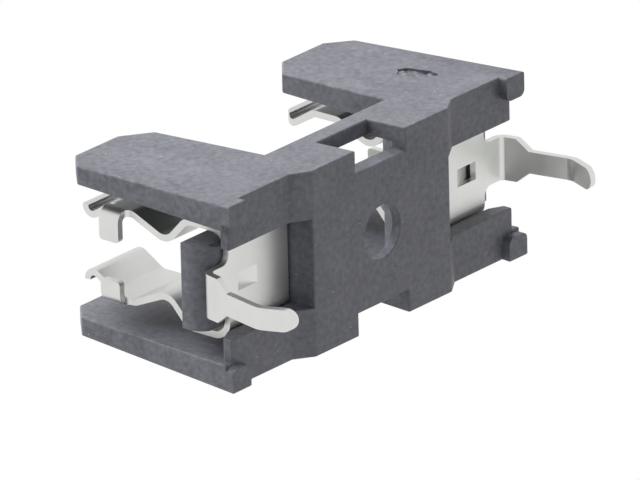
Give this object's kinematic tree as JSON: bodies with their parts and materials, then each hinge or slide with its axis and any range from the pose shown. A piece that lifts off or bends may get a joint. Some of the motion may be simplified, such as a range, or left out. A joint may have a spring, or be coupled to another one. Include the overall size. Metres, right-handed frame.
{
  "type": "board fuse holder",
  "caption": "Open board-mount holder for a small glass tube fuse: a dark moulded body with winged ends and folded spring clips whose kinked tails solder through the board.",
  "frame": {"origin": "centre of the footprint on the board plane, under the locating hole", "axes": "+X along the fuse from the left clip to the right clip, +Z away from the board, +Y across the body"},
  "size_m": [0.0248, 0.0098, 0.0155],
  "materials": {
    "moulded_body": "dark slate moulded thermoplastic with a fine satin texture",
    "tinned_clip": "pale satin tin plating on folded spring sheet"
  },
  "bodies": {
    "root": {"holder_body": "moulded_body", "left_contact_clip": "tinned_clip", "right_contact_clip": "tinned_clip"}
  },
  "joints": []
}
